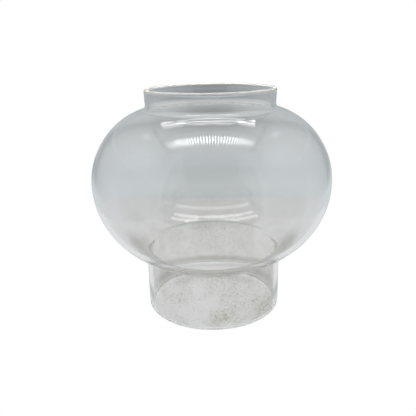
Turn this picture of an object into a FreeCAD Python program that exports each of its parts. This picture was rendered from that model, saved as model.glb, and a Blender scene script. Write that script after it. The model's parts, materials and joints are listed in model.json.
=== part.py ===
import FreeCAD, Part
import math
import os

# Clear glass globe (chimney) for an oil lamp: one blown and moulded piece of
# glass, open at both ends, turned about the vertical axis Z.
#
# Bottom to top it is a straight ring that stands in the lamp's gallery (the
# fitter), a bulging belly, a tight shoulder and a short open neck. The wall is
# drawn once as a closed section in the XZ plane and turned a full circle.
# The origin is the centre of the ground bottom edge and +Z points up.

# Sizes that can each be set alone, in mm
FITTER_OD = 100.0        # ring that drops into the gallery
FITTER_HEIGHT = 41.6     # ground edge to the corner under the belly
BELLY_OD = 170.6         # widest place
LOWER_RISE = 54.1        # corner under the belly up to the widest place
UPPER_RISE = 51.3        # widest place up to the shoulder corner
NECK_OD = 90.6           # just above the shoulder
NECK_HEIGHT = 13.0       # shoulder corner up to the top of the rim
WALL = 3.2               # same all over
CREASE_FILLET = 1.7      # outside radius where fitter meets belly
SHOULDER_FILLET = 3.3    # outside radius where belly meets neck
FLARE_RADIUS = 120.0     # the neck opens very slightly along this arc
EDGE_EASE = 0.5          # 45 degree ease on both corners of the ground edge

# Places that follow from them
FITTER_R = FITTER_OD / 2
BELLY_R = BELLY_OD / 2
NECK_R = NECK_OD / 2
BELLY_Z = FITTER_HEIGHT + LOWER_RISE
TOTAL_HEIGHT = BELLY_Z + UPPER_RISE + NECK_HEIGHT


def point(r, z):
    return FreeCAD.Vector(r, 0, z)


def on_circle(centre, radius, angle):
    return point(centre[0] + radius * math.cos(angle), centre[1] + radius * math.sin(angle))


def arc(centre, radius, start, end):
    middle = (start + end) / 2
    return Part.Arc(
        on_circle(centre, radius, start),
        on_circle(centre, radius, middle),
        on_circle(centre, radius, end),
    ).toShape()


def line(first, last):
    return Part.LineSegment(first, last).toShape()


def side_arc(ring_r, rise):
    """Radius of the arc that is upright at the belly and meets ring_r one rise away."""
    bulge = BELLY_R - ring_r
    return (bulge ** 2 + rise ** 2) / (2 * bulge)


def fillet_centre(ring_r, side_radius, fillet, way):
    """Centre of the fillet between an upright ring and the side arc (way -1 down, +1 up)."""
    reach = ring_r + fillet - (BELLY_R - side_radius)
    return (ring_r + fillet, BELLY_Z + way * math.sqrt((side_radius + fillet) ** 2 - reach ** 2))


def skin(inset):
    """Edges of one skin from the fitter up to the neck end, inset from the outside."""
    low = side_arc(FITTER_R, LOWER_RISE)
    high = side_arc(NECK_R, UPPER_RISE)
    low_centre = (BELLY_R - low, BELLY_Z)
    high_centre = (BELLY_R - high, BELLY_Z)
    crease = fillet_centre(FITTER_R, low, CREASE_FILLET, -1)
    shoulder = fillet_centre(NECK_R, high, SHOULDER_FILLET, 1)
    flare = (NECK_R + FLARE_RADIUS, shoulder[1])

    low_angle = math.atan2(crease[1] - low_centre[1], crease[0] - low_centre[0])
    high_angle = math.atan2(shoulder[1] - high_centre[1], shoulder[0] - high_centre[0])
    rim_rise = TOTAL_HEIGHT - WALL / 2 - shoulder[1]
    rim_angle = math.asin(rim_rise / (FLARE_RADIUS + WALL / 2))

    return [
        line(point(FITTER_R - inset, EDGE_EASE), point(FITTER_R - inset, crease[1])),
        arc(crease, CREASE_FILLET + inset, math.pi, low_angle + math.pi),
        arc(low_centre, low - inset, low_angle, 0),
        arc(high_centre, high - inset, 0, high_angle),
        arc(shoulder, SHOULDER_FILLET + inset, high_angle + math.pi, math.pi),
        arc(flare, FLARE_RADIUS + inset, math.pi, math.pi - rim_angle),
    ]


def rim(outer_end, inner_end):
    """Fire-polished top: a half round that closes the two skins."""
    centre = (outer_end + inner_end) * 0.5
    across = outer_end - centre
    top = centre + FreeCAD.Vector(-across.z, 0, across.x)
    return Part.Arc(outer_end, top, inner_end).toShape()


def ground_edge():
    """Flat ground bottom with both corners eased."""
    inner = FITTER_R - WALL
    corners = [
        point(inner, EDGE_EASE),
        point(inner + EDGE_EASE, 0),
        point(FITTER_R - EDGE_EASE, 0),
        point(FITTER_R, EDGE_EASE),
    ]
    return [line(first, last) for first, last in zip(corners, corners[1:])]


def glass_globe():
    """The whole globe, one solid turned from one wall section."""
    outer = skin(0)
    inner = skin(WALL)
    top = rim(outer[-1].lastVertex().Point, inner[-1].lastVertex().Point)
    edges = ground_edge() + outer + [top] + inner
    section = Part.Face(Part.Wire(Part.__sortEdges__(edges)))
    return section.revolve(point(0, 0), FreeCAD.Vector(0, 0, 1), 360)


PIECES = {"glass_globe": glass_globe}

os.makedirs("parts", exist_ok=True)
for name, make in PIECES.items():
    make().exportStep("parts/%s.step" % name)
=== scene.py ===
# %% [markdown]
# # Clear glass globe of an oil lamp
#
# The real object is one piece of clear glass: a straight ring that stands in
# the lamp's gallery, a bulging belly, a tight shoulder and a short open neck.
# Clear glass has hardly a colour of its own. What the eye reads is the room
# bent through it and mirrored in it, so most of this lesson is about the thin
# wall and about what stands round it.

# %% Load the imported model, which fixes every size
import json
import math

import bmesh
import bpy
from mathutils import Matrix, Vector


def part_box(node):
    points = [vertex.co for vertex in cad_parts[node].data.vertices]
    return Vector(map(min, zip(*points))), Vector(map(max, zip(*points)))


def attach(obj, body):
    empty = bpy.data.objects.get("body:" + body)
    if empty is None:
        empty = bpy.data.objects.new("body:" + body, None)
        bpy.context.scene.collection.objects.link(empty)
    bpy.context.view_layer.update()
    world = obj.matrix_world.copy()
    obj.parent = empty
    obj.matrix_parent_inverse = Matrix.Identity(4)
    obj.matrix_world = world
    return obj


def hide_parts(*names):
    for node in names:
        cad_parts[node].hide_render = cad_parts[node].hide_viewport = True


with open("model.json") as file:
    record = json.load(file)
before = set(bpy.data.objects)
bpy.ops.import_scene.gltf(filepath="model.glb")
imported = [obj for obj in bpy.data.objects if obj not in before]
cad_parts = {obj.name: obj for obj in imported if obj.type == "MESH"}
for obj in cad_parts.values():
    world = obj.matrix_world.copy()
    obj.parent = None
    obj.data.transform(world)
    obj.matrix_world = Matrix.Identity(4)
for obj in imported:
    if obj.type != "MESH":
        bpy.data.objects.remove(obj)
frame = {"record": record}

scene = bpy.context.scene
for spare in ("Cube", "Light", "Camera"):
    if spare in bpy.data.objects:
        bpy.data.objects.remove(bpy.data.objects[spare])
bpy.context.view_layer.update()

# %% [markdown]
# ## Sizes
#
# The frame gives the overall box, and its record gives the ring's outside and
# inside as mounts. The rest of the section can't be read from the frame, so
# the few sizes that draw it are named here, in metres.

# %% Sizes of the wall section
mounts = {mount["name"]: mount for mount in frame["record"]["mounts"]}
high_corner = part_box("glass_globe")[1]

RING_R = mounts["fitter_outside"]["dims"]["r_mm"] / 1000
WALL = RING_R - mounts["fitter_inside"]["dims"]["r_mm"] / 1000
BELLY_R = high_corner[0]
TOP_Z = high_corner[2]
BELLY_Z = 0.0957
RING_CORNER_Z = 0.0416
NECK_R = 0.0453
SHOULDER_CORNER_Z = 0.1470
CREASE_FILLET = 0.0017
SHOULDER_FILLET = 0.0033
FLARE_RADIUS = 0.120
EDGE_EASE = 0.0005
GROUND_TOP = 0.0012
print("ring radius %.4f, wall %.4f" % (RING_R, WALL))
print("belly radius %.4f, top %.4f" % (BELLY_R, TOP_Z))

# %% [markdown]
# ## Camera
#
# The camera stands close, about a third of a metre from the axis, a little
# above the rim and tipped down. It leans by one degree, so the globe looks
# turned a little to the left. Being this close is what opens the ring's lower
# edge into a wide oval while the top rim stays nearly flat.

# %% Camera
CAMERA_BACK = 0.3345
CAMERA_UP = 0.1845
TIPPED_DOWN = math.radians(18.48)
LEAN = math.radians(-1.01)
LENS = 40.93
SENSOR = 36.0
SHIFT_LEFT = -0.0104

camera_data = bpy.data.cameras.new("camera")
camera_data.lens = LENS
camera_data.sensor_width = SENSOR
camera_data.shift_x = SHIFT_LEFT
camera = bpy.data.objects.new("camera", camera_data)
scene.collection.objects.link(camera)
camera.matrix_world = (
    Matrix.Translation((0.0, -CAMERA_BACK, CAMERA_UP))
    @ Matrix.Rotation(math.pi / 2 - TIPPED_DOWN, 4, "X")
    @ Matrix.Rotation(LEAN, 4, "Z")
)
scene.camera = camera
scene.view_settings.view_transform = "Standard"
print("camera at", [round(v, 4) for v in camera.matrix_world.translation])

# %% [markdown]
# ## Shader maths
#
# Materials here are written as arithmetic. `Wire` wraps one socket and gives
# it the usual operators, so `1 - mask` adds the Math node by itself. `Sheet`
# holds one node tree, and its `add` method adds every kind of node: first the
# settings, then the values and wires of its inputs.

# %% Helpers for shader maths
class Wire:
    """One node socket that can be added, taken away and multiplied."""

    def __init__(self, sheet, socket):
        self.sheet = sheet
        self.socket = socket

    def __add__(self, other):
        return self.sheet.math("ADD", self, other)

    __radd__ = __add__

    def __mul__(self, other):
        return self.sheet.math("MULTIPLY", self, other)

    __rmul__ = __mul__

    def __sub__(self, other):
        return self.sheet.math("SUBTRACT", self, other)

    def __rsub__(self, other):
        return self.sheet.math("SUBTRACT", other, self)

    def __abs__(self):
        return self.sheet.math("ABSOLUTE", self, 0.0)

    def fade(self, start, end):
        """0 at start, 1 at end, eased between them and held outside."""
        values = {"Value": self, "From Min": start, "From Max": end}
        return self.sheet.add("ShaderNodeMapRange", {"interpolation_type": "SMOOTHSTEP"}, values)

    def near(self, value, reach):
        """1 at the value, easing to 0 at the reach on either side."""
        return abs(self - value).fade(reach, 0.0)


class Sheet:
    """One node tree, emptied."""

    def __init__(self, owner):
        owner.use_nodes = True
        self.tree = owner.node_tree
        self.tree.nodes.clear()

    def add(self, kind, settings=None, values=None, output=0):
        """Adds a node and returns the wire of one of its outputs."""
        node = self.tree.nodes.new(kind)
        for name, value in (settings or {}).items():
            setattr(node, name, value)
        for name, value in (values or {}).items():
            if isinstance(value, Wire):
                self.tree.links.new(value.socket, node.inputs[name])
            else:
                node.inputs[name].default_value = value
        return Wire(self, node.outputs[output]) if len(node.outputs) else None

    def math(self, operation, first, second):
        return self.add("ShaderNodeMath", {"operation": operation}, {0: first, 1: second})

    def vector(self, operation, values, output=0):
        return self.add("ShaderNodeVectorMath", {"operation": operation}, values, output)

    def spot(self):
        """The object coordinates, as a vector."""
        return self.add("ShaderNodeTexCoord", output=3)

    def place(self, axis):
        """The object coordinate along X, Y or Z."""
        return self.add("ShaderNodeSeparateXYZ", None, {0: self.spot()}, output="XYZ".index(axis))

    def from_axis(self):
        """The distance from the upright axis."""
        flat = self.vector("MULTIPLY", {0: self.spot(), 1: (1, 1, 0)})
        return self.vector("LENGTH", {0: flat}, output=1)

    def dyed(self, colour, amount):
        """A colour scaled by a number that changes over the surface."""
        return self.vector("SCALE", {0: colour, "Scale": amount})

    def surface(self, shader, kind="ShaderNodeOutputMaterial"):
        self.add(kind, None, {"Surface": shader})


def new_sheet(name):
    """A new material and its empty node tree."""
    material = bpy.data.materials.new(name)
    return material, Sheet(material)


print("helpers ready")

# %% [markdown]
# ## The light tent
#
# Glass like this is shown in a small cloth light tent with rows of lamps under
# its roof. A clear wall mirrors only about a twentieth of what it faces, so
# the lamp rows read as bright arcs and the open front as a darker rounded
# window on the belly. The tent could be lit by real lamps and bounced light,
# but then every mirrored wall would be full of grain. Panels that glow by
# themselves give the same picture and stay clean.
#
# The tent is hidden from the camera, which sees plain white floor and air.

# %% Tent sizes
TENT_HALF = 0.200
TENT_FRONT = -0.200
TENT_BACK = 0.250
TENT_TOP = 0.400
TENT_DEPTH = TENT_BACK - TENT_FRONT
TENT_MIDDLE = (TENT_BACK + TENT_FRONT) / 2
FRONT_FLAP = 0.080
BACK_FLAP = 0.160
SEAM = (0.022, 0.300)
LEFT_SEAM_X = -0.186
RIGHT_SEAM_X = 0.178
UNDER_ROOF = TENT_TOP - 0.001
COOL = (0.945, 1.0, 1.03)
PALE = (0.985, 0.995, 1.01)
PLAIN = (1.0, 1.0, 1.0)


# %% Panel maker
def panel(name, size, turn, centre):
    """A flat sheet of the given size, turned and set in place."""
    mesh = bpy.data.meshes.new(name)
    shell = bmesh.new()
    bmesh.ops.create_grid(shell, x_segments=1, y_segments=1, size=0.5)
    bmesh.ops.scale(shell, vec=(size[0], size[1], 1.0), verts=shell.verts)
    bmesh.ops.rotate(shell, cent=(0, 0, 0), matrix=turn, verts=shell.verts)
    bmesh.ops.translate(shell, vec=centre, verts=shell.verts)
    shell.to_mesh(mesh)
    shell.free()
    flat = bpy.data.objects.new(name, mesh)
    scene.collection.objects.link(flat)
    return flat


upright = Matrix.Rotation(math.pi / 2, 3, "X")
sideways = Matrix.Rotation(math.pi / 2, 3, "Y")
level = Matrix.Identity(3)
print("tent %.2f deep, %.2f high" % (TENT_DEPTH, TENT_TOP))


# %% Glowing cloth
SEAM_TONE = (0.08, 0.08, 0.08, 1.0)


def glowing(name, tone, glow_of):
    """Cloth whose glow follows a rule; a seam has no rule and is dark all over."""
    material, sheet = new_sheet(name)
    colour = sheet.dyed(tone, glow_of(sheet)) if glow_of else SEAM_TONE
    light = sheet.add("ShaderNodeEmission", None, {"Color": colour, "Strength": 1.0})
    sheet.surface(light)
    return material


def back_glow(sheet):
    """Even, a little lighter at its sides, and in shade above the globe's middle."""
    across, height = sheet.place("X"), sheet.place("Z")
    sides = 1.0 - across.near(0.0, 0.15)
    shade = height.fade(0.085, 0.128) * (0.10 + 0.10 * across.near(0.0, 0.09))
    band = 0.09 * height.near(0.130, 0.022)
    return 0.55 + 0.06 * sides - shade - band + 0.05 * height.fade(0.045, 0.015)


def side_glow(sheet):
    """Dim at the back, bright where the lamps fall on it, with one sewn fold."""
    along, height = sheet.place("Y"), sheet.place("Z")
    lamp_light = 0.55 * height.near(0.26, 0.13) * along.near(-0.10, 0.14)
    patch = 0.75 * height.near(0.345, 0.05) * along.near(0.055, 0.05)
    foot = 0.22 * height.fade(0.085, 0.035) * along.fade(-0.090, -0.030)
    fold = 0.20 * height.near(0.190, 0.005)
    return 0.43 + lamp_light + patch + foot + fold


def front_glow(sheet):
    """The dim opening between two pale flaps, each with a bright hem."""
    across, height = abs(sheet.place("X")), sheet.place("Z")
    flap = across.fade(0.150, 0.162)
    opening = 0.20 - 0.12 * height.fade(0.105, 0.15) + 0.30 * height.fade(0.25, 0.31)
    hem = 0.5 * across.near(0.158, 0.005)
    return opening * (1.0 - flap) + 0.50 * flap + hem


def roof_glow(sheet):
    """The roof is open in the middle; its front and back flaps lie in half light."""
    return 0.38 + 0.17 * sheet.place("Y").fade(-0.10, -0.17)


# %% Hang the cloth
WIDE = 2 * TENT_HALF
MID_Z = TENT_TOP / 2
cloths = (
    ("tent_back", (WIDE, TENT_TOP), upright, (0, TENT_BACK, MID_Z), back_glow),
    ("tent_front", (WIDE, TENT_TOP), upright, (0, TENT_FRONT, MID_Z), front_glow),
    ("tent_left", (TENT_TOP, TENT_DEPTH), sideways, (-TENT_HALF, TENT_MIDDLE, MID_Z), side_glow),
    ("tent_right", (TENT_TOP, TENT_DEPTH), sideways, (TENT_HALF, TENT_MIDDLE, MID_Z), side_glow),
    ("roof_front", (WIDE, FRONT_FLAP), level, (0, TENT_FRONT + FRONT_FLAP / 2, TENT_TOP), roof_glow),
    ("roof_back", (WIDE, BACK_FLAP), level, (0, TENT_BACK - BACK_FLAP / 2, TENT_TOP), roof_glow),
    ("seam_left", SEAM, level, (LEFT_SEAM_X, 0.0, UNDER_ROOF), None),
    ("seam_right", SEAM, level, (RIGHT_SEAM_X, 0.0, UNDER_ROOF), None),
)
for name, size, turn, centre, glow_of in cloths:
    cloth = panel(name, size, turn, centre)
    cloth.data.materials.append(glowing(name, COOL, glow_of))
    cloth.visible_camera = False
print("tent of", len(cloths), "panels")

# %% [markdown]
# Two rows of small lamps are set in white strips across the back of the roof,
# and a long studio lamp with many tubes hangs over a metre up and shines
# through the open middle. Each is one panel whose glow is drawn by its
# material, because a hundred separate bulbs would look the same in the glass.
# Both are turned by five degrees against the camera's line.

# %% Lamps
LAMP_TURN = math.radians(5.0)
UNLIT = 0.38
BEAD_PITCH = 0.0075
TUBE_PITCH = 0.032
ROWS_SIZE, ROWS_AT = (0.280, 0.160), (-0.010, 0.162, 0.396)
OVERHEAD_SIZE, OVERHEAD_AT = (1.500, 0.300), (-0.010, -0.085, 1.100)


def beads(across, pitch):
    """1 on each lamp of a row, 0 between them."""
    to_and_fro = across.sheet.math("PINGPONG", across, pitch / 2)
    return to_and_fro.fade(pitch * 0.26, pitch * 0.42)


def strip(along, front, back):
    """1 on a strip of the roof between two places along Y."""
    return along.fade(front - 0.002, front + 0.002) * along.fade(back + 0.004, back - 0.004)


def row_glow(sheet):
    """Two strips of beads; both sag back and grow deeper towards the middle."""
    across, along = sheet.place("X"), sheet.place("Y")
    sag = across.near(0.006, 0.150)
    near_row = strip(along, 0.106 + 0.018 * sag, 0.130 + 0.032 * sag)
    far_row = strip(along, 0.156 + 0.024 * sag, 0.180 + 0.036 * sag)
    lit = near_row * 0.9 + far_row * 1.4
    return UNLIT + lit * (0.35 + 1.15 * sag) * (4.0 + 26.0 * beads(across, BEAD_PITCH))


def tube_glow(sheet):
    """Many tubes side by side, brightest in the middle of the lamp."""
    across, along = sheet.place("X"), sheet.place("Y")
    fall = across.near(OVERHEAD_AT[0], 0.75).fade(0.0, 0.75) * along.near(OVERHEAD_AT[1], 0.150)
    return UNLIT + fall * (0.6 + 25.0 * beads(across, TUBE_PITCH))


lamps = (
    ("lamp_rows", ROWS_SIZE, ROWS_AT, row_glow),
    ("lamp_overhead", OVERHEAD_SIZE, OVERHEAD_AT, tube_glow),
)
lamp_turn = Matrix.Rotation(LAMP_TURN, 3, "Z")
for name, size, centre, glow_of in lamps:
    lamp = panel(name, size, lamp_turn, centre)
    lamp.data.materials.append(glowing(name, PLAIN, glow_of))
    lamp.visible_camera = False
print("lamps", len(lamps))


# %% [markdown]
# The floor is white to the camera. To the glass it is a paler grey near the
# globe, with a bright line right under the front of the foot, where the wall
# gathers the light, and soft shade just outside and inside the ring.

# %% Floor and air
FLOOR_SIZE = 3.0
FLOOR_DROP = -0.0002
AIR_GLOW = 0.35
WHITE = (1.0, 1.0, 1.0, 1.0)


def floor_glow(sheet):
    """What the glass sees of the floor."""
    along, out = sheet.place("Y"), sheet.from_axis()
    gathered = out.near(RING_R - WALL / 2, 0.0030) * along.fade(0.030, -0.020)
    shade = out.near(0.0600, 0.0120)
    inside = out.near(0.0380, 0.0100) * along.fade(0.010, 0.030)
    far = along.fade(0.10, 0.25)
    return 0.74 - 0.09 * far + 0.6 * gathered - 0.25 * shade - 0.12 * inside


def white_to_camera(sheet, kind, behind):
    """Plain white where the camera looks, and its own light for the glass."""
    seen = sheet.add("ShaderNodeLightPath")
    white = sheet.add(kind, None, {"Color": WHITE, "Strength": 1.0})
    return sheet.add("ShaderNodeMixShader", None, {0: seen, 1: behind, 2: white})


floor_white, floor_sheet = new_sheet("floor_white")
floor_tone = floor_sheet.dyed(PALE, floor_glow(floor_sheet))
floor_light = floor_sheet.add("ShaderNodeEmission", None, {"Color": floor_tone, "Strength": 1.0})
floor_both = white_to_camera(floor_sheet, "ShaderNodeEmission", floor_light)
floor_sheet.surface(floor_both)
floor = panel("floor", (FLOOR_SIZE, FLOOR_SIZE), level, (0, 0, FLOOR_DROP))
floor.data.materials.append(floor_white)

world = bpy.data.worlds.new("air")
air = Sheet(world)
dim = air.add("ShaderNodeBackground", None, {"Color": WHITE, "Strength": AIR_GLOW})
air_both = white_to_camera(air, "ShaderNodeBackground", dim)
air.surface(air_both, "ShaderNodeOutputWorld")
scene.world = world
print("floor and air ready")

# %% [markdown]
# ## How far light may travel
#
# In a thin wall light is thrown to and fro many times before it gets out. A
# path that is cut short ends in black, so the rim and the creases would look
# inked. A hundred or so turns are enough for every line to clear.

# %% Light paths
PATH_TURNS = 128
BRIGHTEST_BOUNCE = 4.0
scene.cycles.max_bounces = PATH_TURNS
scene.cycles.transmission_bounces = PATH_TURNS
scene.cycles.glossy_bounces = PATH_TURNS
scene.cycles.sample_clamp_indirect = BRIGHTEST_BOUNCE
print("light may turn", scene.cycles.max_bounces, "times")

# %% [markdown]
# ## The section of the wall
#
# A glassblower turns the gather in a mould, so the globe is a true lathe
# shape. The section is drawn the way a compass would: one vertex is pulled
# straight or swung round a centre, and leaves edges behind it. It runs up the
# outside, over the rim, down the inside and back across the foot.
#
# Both skins have to be there. Light bends on the way in and again on the way
# out, and a single skin would look like a soap bubble. The wall is even, so a
# fillet on the inside is the outside's plus the wall.

# %% Drawing with one vertex
AXIS_Y = (0.0, 1.0, 0.0)
SAME_POINT = 1e-5


def swing(shell, tip, centre, angle, steps):
    """Turns the tip about a centre in the XZ plane and returns the new tip."""
    swept = bmesh.ops.spin(
        shell, geom=[tip], cent=(centre[0], 0.0, centre[1]), axis=AXIS_Y,
        angle=-angle, steps=steps, use_duplicate=False,
    )
    return [part for part in swept["geom_last"] if isinstance(part, bmesh.types.BMVert)][0]


def pull(shell, tip, height, steps):
    """Pulls the tip straight up or down to a height and returns the new tip."""
    rise = (height - tip.co.z) / steps
    for _ in range(steps):
        pulled = bmesh.ops.extrude_vert_indiv(shell, verts=[tip])
        tip = pulled["verts"][0]
        bmesh.ops.translate(shell, vec=(0.0, 0.0, rise), verts=[tip])
    return tip


# %% Arcs of the side
def side_radius(ring_r, rise):
    """Radius of the arc that is upright at the belly and passes the ring's corner."""
    bulge = BELLY_R - ring_r
    return (bulge ** 2 + rise ** 2) / (2 * bulge)


def fillet_centre(ring_r, fillet, side, radius, way):
    """Centre of a fillet between a ring and a side arc (way -1 below, +1 above)."""
    x = ring_r + fillet
    return x, BELLY_Z + way * math.sqrt((radius + fillet) ** 2 - (x - side) ** 2)


LOW_R = side_radius(RING_R, BELLY_Z - RING_CORNER_Z)
HIGH_R = side_radius(NECK_R, SHOULDER_CORNER_Z - BELLY_Z)
LOW_SIDE = BELLY_R - LOW_R
HIGH_SIDE = BELLY_R - HIGH_R
print("side arcs of radius %.4f below and %.4f above" % (LOW_R, HIGH_R))


# %% The two skins
SIDE_STEPS = 44
NECK_STEPS = 6
LIP_STEPS = 18
RING_STEPS = 12
CREASE_STEPS = 14
SHOULDER_STEPS = 16
INNER_FILLET_STEPS = 18
SHORT_STEPS = 2
EASE_STEPS = 3


def angle_of(centre, target):
    """The direction from a centre to a target, in the XZ plane."""
    return math.atan2(target[1] - centre[1], target[0] - centre[0])


def skin(inset, crease_fillet, shoulder_fillet):
    """Centres and angles of one skin, which lies an inset inside the outside."""
    low_r, high_r = LOW_R - inset, HIGH_R - inset
    crease = fillet_centre(RING_R - inset, crease_fillet, LOW_SIDE, low_r, -1)
    shoulder = fillet_centre(NECK_R - inset, shoulder_fillet, HIGH_SIDE, high_r, 1)
    return {
        "crease": crease,
        "shoulder": shoulder,
        "low_angle": angle_of((LOW_SIDE, BELLY_Z), crease),
        "high_angle": angle_of((HIGH_SIDE, BELLY_Z), shoulder),
    }


def flare_angle(start):
    """How far the neck leans out between a height and the rim."""
    return math.asin((TOP_Z - WALL / 2 - start) / FLARE_RADIUS)


def draw_outside(shell, tip):
    """Up to the rim; returns the tip, the centre of the neck's flare and its lean."""
    out = skin(0.0, CREASE_FILLET, SHOULDER_FILLET)
    tip = pull(shell, tip, GROUND_TOP, SHORT_STEPS)
    tip = pull(shell, tip, out["crease"][1], RING_STEPS)
    tip = swing(shell, tip, out["crease"], out["low_angle"], CREASE_STEPS)
    tip = swing(shell, tip, (LOW_SIDE, BELLY_Z), -out["low_angle"], SIDE_STEPS)
    tip = swing(shell, tip, (HIGH_SIDE, BELLY_Z), out["high_angle"], SIDE_STEPS)
    tip = swing(shell, tip, out["shoulder"], -out["high_angle"], SHOULDER_STEPS)
    flare = (NECK_R + FLARE_RADIUS, out["shoulder"][1])
    lean = flare_angle(flare[1])
    return swing(shell, tip, flare, -lean, NECK_STEPS), flare, lean


def draw_inside(shell, tip):
    """Down the shoulder, the belly and the ring."""
    inn = skin(WALL, CREASE_FILLET + WALL, SHOULDER_FILLET + WALL)
    tip = pull(shell, tip, inn["shoulder"][1], SHORT_STEPS)
    tip = swing(shell, tip, inn["shoulder"], inn["high_angle"], INNER_FILLET_STEPS)
    tip = swing(shell, tip, (HIGH_SIDE, BELLY_Z), -inn["high_angle"], SIDE_STEPS)
    tip = swing(shell, tip, (LOW_SIDE, BELLY_Z), inn["low_angle"], SIDE_STEPS)
    tip = swing(shell, tip, inn["crease"], -inn["low_angle"], INNER_FILLET_STEPS)
    tip = pull(shell, tip, GROUND_TOP, RING_STEPS)
    return pull(shell, tip, EDGE_EASE, SHORT_STEPS)


def draw_section(shell):
    """Up the outside, over the rim, down the inside, closed across the foot."""
    first = shell.verts.new((RING_R, 0.0, EDGE_EASE))
    tip, flare, lean = draw_outside(shell, first)
    inward = Vector((math.cos(lean), -math.sin(lean))) * WALL / 2
    tip = swing(shell, tip, Vector((tip.co.x, tip.co.z)) - inward, math.pi, LIP_STEPS)
    tip = swing(shell, tip, flare, lean, NECK_STEPS)
    tip = draw_inside(shell, tip)
    tip = swing(shell, tip, (RING_R - WALL + EDGE_EASE, EDGE_EASE), math.pi / 2, EASE_STEPS)
    across = bmesh.ops.extrude_vert_indiv(shell, verts=[tip])["verts"]
    bmesh.ops.translate(shell, vec=(WALL - 2 * EDGE_EASE, 0.0, 0.0), verts=across)
    tip = swing(shell, across[0], (RING_R - EDGE_EASE, EDGE_EASE), math.pi / 2, EASE_STEPS)
    bmesh.ops.remove_doubles(shell, verts=[tip, first], dist=SAME_POINT)


globe = bmesh.new()
draw_section(globe)
print("section points", len(globe.verts), "edges", len(globe.edges))

# %% [markdown]
# ## The lathe
#
# The closed section is turned a full circle. Its last copy is merged with the
# first, and the faces are then made to point out of the glass: away from the
# axis on the outside and towards it on the inside.

# %% Turn the section full circle
TURNS = 180
LAST_ON_FIRST = 1e-6
bmesh.ops.spin(
    globe, geom=globe.verts[:] + globe.edges[:], cent=(0, 0, 0), axis=(0, 0, 1),
    angle=2 * math.pi, steps=TURNS, use_merge=True, use_duplicate=False,
)
bmesh.ops.remove_doubles(globe, verts=globe.verts, dist=LAST_ON_FIRST)
bmesh.ops.recalc_face_normals(globe, faces=globe.faces)
loose = sum(not edge.is_manifold for edge in globe.edges)
volume = globe.calc_volume(signed=True) * 1e6
print("faces", len(globe.faces), "open edges", loose, "volume %.1f cm3" % volume)


# %% Sort the faces into clear outside, stained inside, lip and ground foot
CLEAR, STAINED, LIP, GROUND = 0, 1, 2, 3
heart = Vector((0.0, 0.0, BELLY_Z))
for face in globe.faces:
    centre = face.calc_center_median()
    face.smooth = True
    face.material_index = CLEAR if face.normal.dot(centre - heart) > 0 else STAINED
    if centre.z < GROUND_TOP:
        face.material_index = GROUND
    elif centre.z > TOP_Z - WALL / 2:
        face.material_index = LIP
finishes = [face.material_index for face in globe.faces]
counts = [finishes.count(kind) for kind in (CLEAR, STAINED, LIP, GROUND)]
print("clear, stained, lip and ground faces", counts)

glass_mesh = bpy.data.meshes.new("globe_glass")
globe.to_mesh(glass_mesh)
globe.free()
glass = bpy.data.objects.new("globe_glass", glass_mesh)
scene.collection.objects.link(glass)

# %% [markdown]
# ## Glass
#
# One shader does it: full transmission, no roughness, and the faintest warm
# tint, which only tells at the edges where the eye looks along the wall. Blown
# glass is never quite even, so a very low, wide bump makes the mirrored lines
# wander a little.

# %% Clear glass
GLASS_TINT = (0.990, 0.990, 0.986, 1.0)
GLASS_IOR = 1.5


def noise(sheet, scale, detail, roughness=0.6):
    """Cloudy noise from 0 to 1."""
    values = {"Vector": sheet.spot(), "Scale": scale, "Detail": detail, "Roughness": roughness}
    return sheet.add("ShaderNodeTexNoise", None, values)


def waviness(sheet):
    """The slow swell that blowing leaves in the skin."""
    swell = noise(sheet, 22.0, 1.0, 0.5)
    return sheet.add("ShaderNodeBump", None, {"Strength": 0.06, "Distance": 0.002, "Height": swell})


def principled(sheet, values):
    return sheet.add("ShaderNodeBsdfPrincipled", None, values)


def clear_shader(sheet, tint=GLASS_TINT):
    """Clear glass of a tint, which may be a colour or a wire."""
    return principled(sheet, {
        "Base Color": tint, "Roughness": 0.0, "IOR": GLASS_IOR,
        "Transmission Weight": 1.0, "Normal": waviness(sheet),
    })


def clear_glass():
    material, sheet = new_sheet("bright_glass")
    sheet.surface(clear_shader(sheet))
    return material


glass.data.materials.append(clear_glass())
print("outside", glass.data.materials[0].name)

# %% [markdown]
# ## What years of lamp use leave behind
#
# Soot, oil and dust settle inside, and nobody can reach them all with a
# cloth. There is a thin mottled film, thickest in the ring and at the foot of
# the belly, with fine dark specks in it. Along the front of the lower crease
# the inside is also darker and browner.
#
# Thin film and thick dirt need different means. Light still passes a thin
# film, so there the glass itself is tinted darker. A matt coat would be wrong
# for it: much of the light in a thin wall runs along inside it, a matt coat
# swallows that light, and the creases turn black. The specks are thick enough
# to catch light, so they are a matt surface mixed into the glass, and so is the
# darker brown band along the front of the crease. One mask for each says how
# much lies at each point.

# %% Stained inside
FILM_TINT = (0.30, 0.29, 0.21, 1.0)
SPECK_AND_BAND_TONE = (0.30, 0.28, 0.20, 1.0)


def front_half(sheet):
    """1 on the front of the globe, 0 on its back."""
    return sheet.place("Y").fade(0.010, -0.020)


def film_mask(sheet):
    """How much thin film lies at each point: cloudy and grainy, low down."""
    height = sheet.place("Z")
    where = height.fade(0.084, 0.038)
    cloud = noise(sheet, 34.0, 4.0).fade(0.36, 0.68)
    grain = noise(sheet, 620.0, 3.0).fade(0.40, 0.70)
    in_front = front_half(sheet)
    foot = height.fade(0.026, 0.004) * in_front * cloud * (0.10 + 0.30 * grain)
    return where * (0.32 + 0.20 * cloud + (0.22 + 0.20 * in_front) * cloud * grain) + foot


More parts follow.
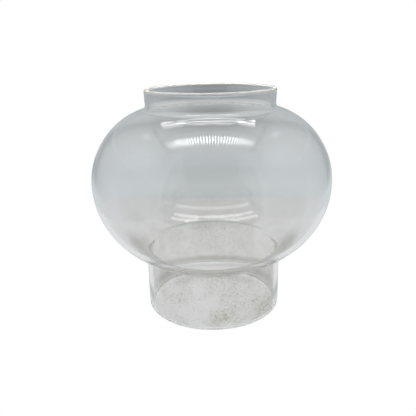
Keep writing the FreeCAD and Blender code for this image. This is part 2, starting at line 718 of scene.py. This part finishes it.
def speck_and_band_mask(sheet):
    """Dirt specks in the ring, and a darker brown band along the front of the crease."""
    height = sheet.place("Z")
    specks = noise(sheet, 800.0, 1.0).fade(0.70, 0.76) * height.fade(0.060, 0.030)
    # a darker brown band along the front of the lower crease
    line = height.near(RING_CORNER_Z + 0.0080, 0.0080) * front_half(sheet)
    return specks * 0.6 + line * 0.45


def stained_glass():
    material, sheet = new_sheet("stained_glass")
    tints = {0: film_mask(sheet), 6: GLASS_TINT, 7: FILM_TINT}
    hazed = sheet.add("ShaderNodeMix", {"data_type": "RGBA"}, tints, output=2)
    speck_and_band = principled(sheet, {"Base Color": SPECK_AND_BAND_TONE, "Roughness": 0.9})
    parts = {0: speck_and_band_mask(sheet), 1: clear_shader(sheet, hazed), 2: speck_and_band}
    both = sheet.add("ShaderNodeMixShader", None, parts)
    sheet.surface(both)
    return material


glass.data.materials.append(stained_glass())
print("inside", glass.data.materials[1].name)

# %% [markdown]
# ## Lip and foot
#
# The lip was cut hot and melted round in the flame. Its bright cream line is a
# painted highlight: a matt cream coat, mixed into the lip's glass, that the
# lamps light. The foot was cut cold and ground flat on a wheel, so it is
# frosted white: it still lets light through, but scatters it.

# %% Lip with a painted highlight, and ground foot
RIM_HIGHLIGHT_TONE = (0.93, 0.91, 0.84, 1.0)
FROST_TONE = (0.97, 0.97, 0.96, 1.0)


def lip_glass():
    material, sheet = new_sheet("lip_glass")
    # painted highlight: a matt cream coat that stands in for the rim's bright line
    highlight_coat = principled(sheet, {"Base Color": RIM_HIGHLIGHT_TONE, "Roughness": 0.6})
    highlight_share = noise(sheet, 90.0, 2.0).fade(0.30, 0.60) * 0.15 + 0.50
    lip = sheet.add("ShaderNodeMixShader", None, {0: highlight_share, 1: clear_shader(sheet), 2: highlight_coat})
    sheet.surface(lip)
    return material


def ground_glass():
    material, sheet = new_sheet("ground_glass")
    sheet.surface(principled(sheet, {
        "Base Color": FROST_TONE, "Roughness": 0.75, "IOR": GLASS_IOR, "Transmission Weight": 0.85,
    }))
    return material


glass.data.materials.append(lip_glass())
glass.data.materials.append(ground_glass())
print("glass finishes", [m.name for m in glass.data.materials])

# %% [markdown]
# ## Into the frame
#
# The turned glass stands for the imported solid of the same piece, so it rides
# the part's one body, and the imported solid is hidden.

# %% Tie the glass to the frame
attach(glass, "root")
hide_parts("glass_globe")
